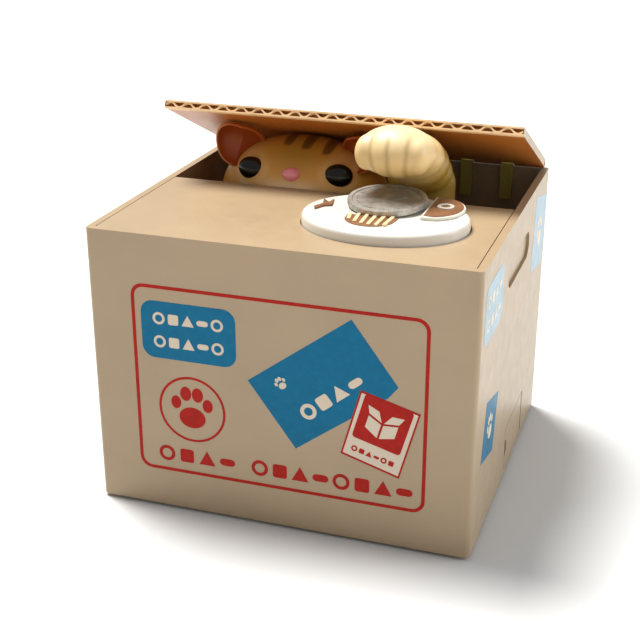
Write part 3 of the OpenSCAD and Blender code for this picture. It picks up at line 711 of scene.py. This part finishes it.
def make_face():
    parts = []
    for side, x in ((-1, low("eyes").x + 4), (1, high("eyes").x - 4)):
        eye = ball_mesh("eye", (0, 0, 0), (4.9 + 0.15 * side, 3.2, 4.0), 64, 40)
        lie = Matrix.Rotation(math.radians(side * -9), 4, "Y")
        eye.transform(Matrix.Translation((x, 9.4, EYE_Z)) @ lie)
        parts.append(eye)
    finish_piece("cat_eyes", merged("cat_eyes", parts), "head", "eye_black", ("eyes",))
    mesh = ball_mesh("cat_nose", (middle("nose").x, 6.6, EYE_Z - 0.2), (3.3, 2.7, 2.35), 64, 40,
                     lambda d: 1 + 0.08 * d.z - 0.05 * abs(d.x) * (d.z < 0))
    finish_piece("cat_nose", mesh, "head", "nose_pink", ("nose",))


# Middle of the palm above the table, and each finger's place across it
PALM_Y = -8.5
PALM_Z = 109.35
FINGERS = (-8.7, -3.3, 2.1, 7.5)
FINGER_Z = 109.1
GROOVE_DEPTH = 0.26


def paw_shapes(cx, arm_x):
    """The overlapping solids of the upright arm, its bend and the mitt."""
    column = []
    for i in range(15):
        z = low("arm_left_shell").z + 0.4 + 27 * i / 14
        column.append([Vector((arm_x + 11.0 * math.cos(a), 13.4 + 8.3 * math.sin(a), z))
                       for a in (2 * math.pi * j / 64 for j in range(64))])
    shapes = [grid_mesh("column", column),
              ball_mesh("elbow", (arm_x, 12.8, 95), (11.0, 7.9, 7.9)),
              ball_mesh("bend", (arm_x, 8.6, 99.3), (10.9, 8.1, 7.8)),
              ball_mesh("wrist", (arm_x, 4, 103.2), (10.8, 8.7, 8.1)),
              ball_mesh("back", (24.2, -1.6, 106.6), (11.6, 8.6, 7.7)),
              ball_mesh("palm", (cx, PALM_Y, PALM_Z), (12.3, 9.7, 7.9))]
    for x in FINGERS:
        centre = (cx + x, -12.7 + 0.02 * x * x, FINGER_Z)
        shapes.append(ball_mesh("finger", centre, (3.7, 5.2, 6.4 - 0.012 * x * x)))
    return shapes


def make_paw():
    """The arm and the mitt in one skin, with grooves between the four fingers."""
    cx = MITT.x
    arm_x = ARM.x + (high("arm_left_shell").x - low("arm_left_shell").x) / 2
    paw = fused("cat_paw", paw_shapes(cx, arm_x), 0.42, 16)
    gaps = [(a + b) / 2 for a, b in zip(FINGERS, FINGERS[1:])]

    def groove(p, width):
        near = min(abs(p.x - cx - g * (1 + 0.02 * (p.z - 109))) for g in gaps)
        front = step(0, 5, -10.5 - p.y) * (p.z > 101.6)
        return math.exp(-(near / width) ** 2) * front * (1 - step(114.8, 4, p.z))

    paw.update()
    moves = [v.normal * (-GROOVE_DEPTH * groove(v.co, 0.75)) for v in paw.vertices]
    for v, move in zip(paw.vertices, moves):
        v.co += move

    def masks(p):
        # Painted light: the pale coat on the mitt's top is a painted highlight; the shade coat on the arm
        # (partly its own tan) and under the mitt, and the dark coat towards the bottom of the arm and in the
        # finger grooves, are painted shade. The dark line on the arm's seam is the joint's own colour.
        along = (p.y - PALM_Y) * 0.909 - (p.z - PALM_Z) * 0.416
        sleeve = step(8.5, 14, along)
        under = (1 - step(105.2, 7, p.z)) * (1 - sleeve)
        low_arm_shade = sleeve * (1 - step(97, 16, p.z))
        seam = math.exp(-(((p.x - arm_x) / 0.25) ** 2)) * (p.y > 14)
        dark = max(0.38 * groove(p, 0.8), 0.55 * low_arm_shade, 0.4 * seam)
        return dark, 0.9 * step(112, 6, p.z) * (1 - sleeve), max(sleeve, 0.55 * under)

    paint(paw, masks)
    finish_piece("cat_paw", paw, "paw", "fur", ("paw_mitt", "arm_left_shell", "arm_right_shell"),
                 painted("painted_paw", **PAW_COATS_AND_LIGHT))


# ---- tray, fish and coin ----


TRAY_W = 51
TRAY_D = 41
# The dish's section: share of its half width, and height from its face
DISH_SECTION = [(0.0, -7.6), (1.0, -7.6), (1.0, -6.2), (1.0, -1.4), (0.992, -0.7), (0.975, -0.25),
                (0.945, -0.02), (0.9, 0.0), (0.86, -0.02), (0.84, -0.12), (0.82, -0.16), (0.0, -0.16)]
COIN_THICK = 1.75
COIN_TILT = math.radians(3.75)
# The coin's section: share of its radius, and share of its thickness
COIN_SECTION = [(0.0, -0.45), (0.86, -0.45), (0.89, -0.5), (0.985, -0.5), (1.0, -0.4), (1.0, 0.4),
                (0.985, 0.5), (0.89, 0.5), (0.87, 0.36), (0.0, 0.36)]


def turns(steps):
    return [2 * math.pi * i / steps for i in range(steps)]


def make_tray():
    """White oval dish with a rounded edge and a raised rim."""
    rows = []
    for r, rise in DISH_SECTION:
        rx, ry = (max(r, 0.002) * size / 2 for size in (TRAY_W, TRAY_D))
        rows.append([Vector((TRAY.x + rx * math.cos(a), TRAY.y + ry * math.sin(a), TRAY_TOP + rise))
                     for a in turns(160)])
    finish_piece("oval_tray", grid_mesh("oval_tray", rows), "tray", "tray_white", ("coin_tray",))


def on_tray(u, v, w):
    return Vector((u, v, TRAY_TOP + w))


def raised(name, outlines, height, slot, replaced=(), base=-0.2, edge=0.25):
    """Outlines that stand up from the tray's face, with softened edges."""
    mesh = solids_mesh(name, [prism(o, on_tray, base, height) for o in outlines])
    piece = finish_piece(name, mesh, "tray", slot, replaced, smooth=False)
    soft = piece.modifiers.new("round", "BEVEL")
    soft.width = edge * MM
    soft.segments = 3
    soft.limit_method = "ANGLE"


def make_fish():
    """A fish that is half eaten: head, bare ribs and tail."""
    head_line = arc(34.7, -15.8, 10.6, -68, 62, 18)
    white = [(34.6, -26.3)] + arc(34.7, -15.8, 11.2, -66, 66, 18) + [(34.6, -5.4)]
    raised("fish_head_rim", [white], 0.9, "tray_white", (), edge=0.4)
    brown = [(35.4, -25.2)] + head_line + [(35.4, -6.6)]
    raised("fish_head_scales", [brown], 1.15, "fish_brown", ("fish_head",), base=0.7)
    ring = ring_prism(disc(39.8, -15.2, 2.6), disc(39.8, -15.2, 1.5), on_tray, 1.0, 1.4)
    finish_piece("fish_eye", solids_mesh("fish_eye", [ring]), "tray", "tray_white", smooth=False)
    tail = [(1.8, -16.2), (4.4, -19), (4.9, -15.4), (6.2, -21.5), (4, -22.5), (2.2, -26.4), (1.4, -24.4),
            (3, -20.8)]
    raised("fish_tail_fin", [tail], 0.5, "fish_brown", ("fish_tail",), edge=0.15)
    bones = []
    for i in range(6):
        x = 13.9 + 2.6 * i
        lean = (i - 3.2) * 0.28
        reach = 35.9 - 0.3 * (i - 3.4) ** 2
        bones.append(bar(x, -27.6, x - lean, -reach, 1.15))
    raised("fish_rib_bones", bones, 0.55, "fur_pale", ("fish_ribs",), edge=0.2)
    hollow = [(13.0, -27.4)] + arc(20.8, -29.2, 7.9, 200, 335, 18) + [(28.6, -27.4)]
    raised("fish_rib_bed", [hollow], 0.06, "fish_brown", (), edge=0.02)
    raised("fish_spine", [bar(15, -5.9, 29, -5.9, 1)], 1.25, "tray_white", (), edge=0.3)


def make_coin():
    """A worn disc with a reeded edge, a raised rim, a beaded ring and a plain star."""
    radius = (high("coin").x - low("coin").x) / 2
    turn = Matrix.Translation(middle("coin")) @ Matrix.Rotation(COIN_TILT, 4, "X")

    def on_coin(u, v, w):
        return turn @ Vector((u, v, w))

    rows = []
    for r, h in COIN_SECTION:
        row = []
        for j, a in enumerate(turns(240)):
            reach = max(r, 0.002) * radius * (0.994 if r == 1.0 and j % 2 else 1)
            row.append(on_coin(reach * math.cos(a), reach * math.sin(a), h * COIN_THICK))
        rows.append(row)
    blank = grid_mesh("coin_disc", rows)
    star = []
    for i in range(10):
        r = radius * (0.22 if i % 2 else 0.5)
        star.append((r * math.cos(math.radians(90 + 36 * i)), r * math.sin(math.radians(90 + 36 * i))))
    circle = radius * 0.76
    beads = [disc(circle * math.cos(a), circle * math.sin(a), 0.35, steps=10) for a in turns(40)]
    raised_marks = [prism(o, on_coin, 0.3 * COIN_THICK, 0.43 * COIN_THICK) for o in [star] + beads]
    coin = merged("coin_disc", [blank, solids_mesh("coin_relief", raised_marks)])
    finish_piece("coin_disc", coin, "coin", "coin_metal", ("coin",), smooth=False)


# ---- lid ----

LID_TURN = Matrix.Translation(HINGE) @ Matrix.Rotation(-LID_OPEN, 4, "X")
LID_LEN = 56.5
LID_LOW = -1.6
LID_TOP = 1.0
LID_HALF = 59
LINER = 0.5
PAPER = 0.36
EDGE_DEPTH = 2.6
WAVES = 19


def on_lid(x, y, z):
    return LID_TURN @ Vector((x, y, z))


def lid_block(x0, y0, z0, x1, y1, z1):
    return prism([(x0, y0), (x1, y0), (x1, y1), (x0, y1)], on_lid, z0, z1)


def flute():
    """Points and faces of the waved sheet between the two liners."""
    per_wave = 16
    half = (LID_TOP - LID_LOW) / 2 - LINER + 0.05
    middle_z = (LID_TOP + LID_LOW) / 2
    line = []
    for i in range(WAVES * per_wave + 1):
        x = -LID_HALF + 0.3 + (2 * LID_HALF - 0.6) * i / (WAVES * per_wave)
        s = math.sin(2 * math.pi * i / per_wave)
        line.append((x, middle_z + half * math.copysign(abs(s) ** 0.8, s)))
    depths = (-LID_LEN + 0.15, -LID_LEN + EDGE_DEPTH)
    points = [on_lid(x, y, z + side * PAPER) for y in depths for side in (1, -1) for x, z in line]
    n = len(line)
    faces = []
    for i in range(n - 1):
        faces += [(i, i + 1, n + i + 1, n + i), (2 * n + i, 3 * n + i, 3 * n + i + 1, 2 * n + i + 1),
                  (i, 2 * n + i, 2 * n + i + 1, i + 1), (n + i, n + i + 1, 3 * n + i + 1, 3 * n + i)]
    faces += [(0, n, 3 * n, 2 * n), (n - 1, 3 * n - 1, 4 * n - 1, 2 * n - 1)]
    return points, faces


def make_lid_edge():
    """The cut edge of corrugated board: two liners, the wave between them and the shade behind it."""
    front, back = -LID_LEN, -LID_LEN + EDGE_DEPTH
    liners = [lid_block(-LID_HALF, front, LID_LOW, LID_HALF, back, LID_LOW + LINER),
              lid_block(-LID_HALF, front, LID_TOP - LINER, LID_HALF, back, LID_TOP)]
    mesh = solids_mesh("lid_flutes", liners + [flute()])
    finish_piece("lid_flutes", mesh, "lid", "board", ("lid_front_edge",), look("flute_paper"), smooth=False)
    shade = lid_block(-LID_HALF + 0.1, front + 1.6, LID_LOW + 0.1, LID_HALF - 0.1, back, LID_TOP - 0.1)
    dark = solids_mesh("lid_flute_dark", [shade])
    finish_piece("lid_flute_dark", dark, "lid", "board", (), look("flute_shadow"), smooth=False)


def make_lid_skins():
    """Thin outer skins in plain tan: the lid is lighter outside than below, where the board colour is painted
    shade.
    """
    top = lid_block(-LID_HALF, -LID_LEN + EDGE_DEPTH, LID_TOP, LID_HALF, -4.6, LID_TOP + 0.05)
    skin = solids_mesh("lid_top_skin", [top])
    finish_piece("lid_top_skin", skin, "lid", "board", (), look("lid_outside"), smooth=False)
    ends = [lid_block(side * LID_HALF - 0.03, -LID_LEN, LID_LOW, side * LID_HALF + 0.03, -4.6, LID_TOP)
            for side in (-1, 1)]
    skin = solids_mesh("lid_end_skins", ends)
    finish_piece("lid_end_skins", skin, "lid", "board", (), look("lid_outside"), smooth=False)


make_camera()
make_studio()
dress_frame()
print_front()
print_side()
make_head()
make_ears()
make_face()
make_paw()
make_tray()
make_fish()
make_coin()
make_lid_edge()
make_lid_skins()
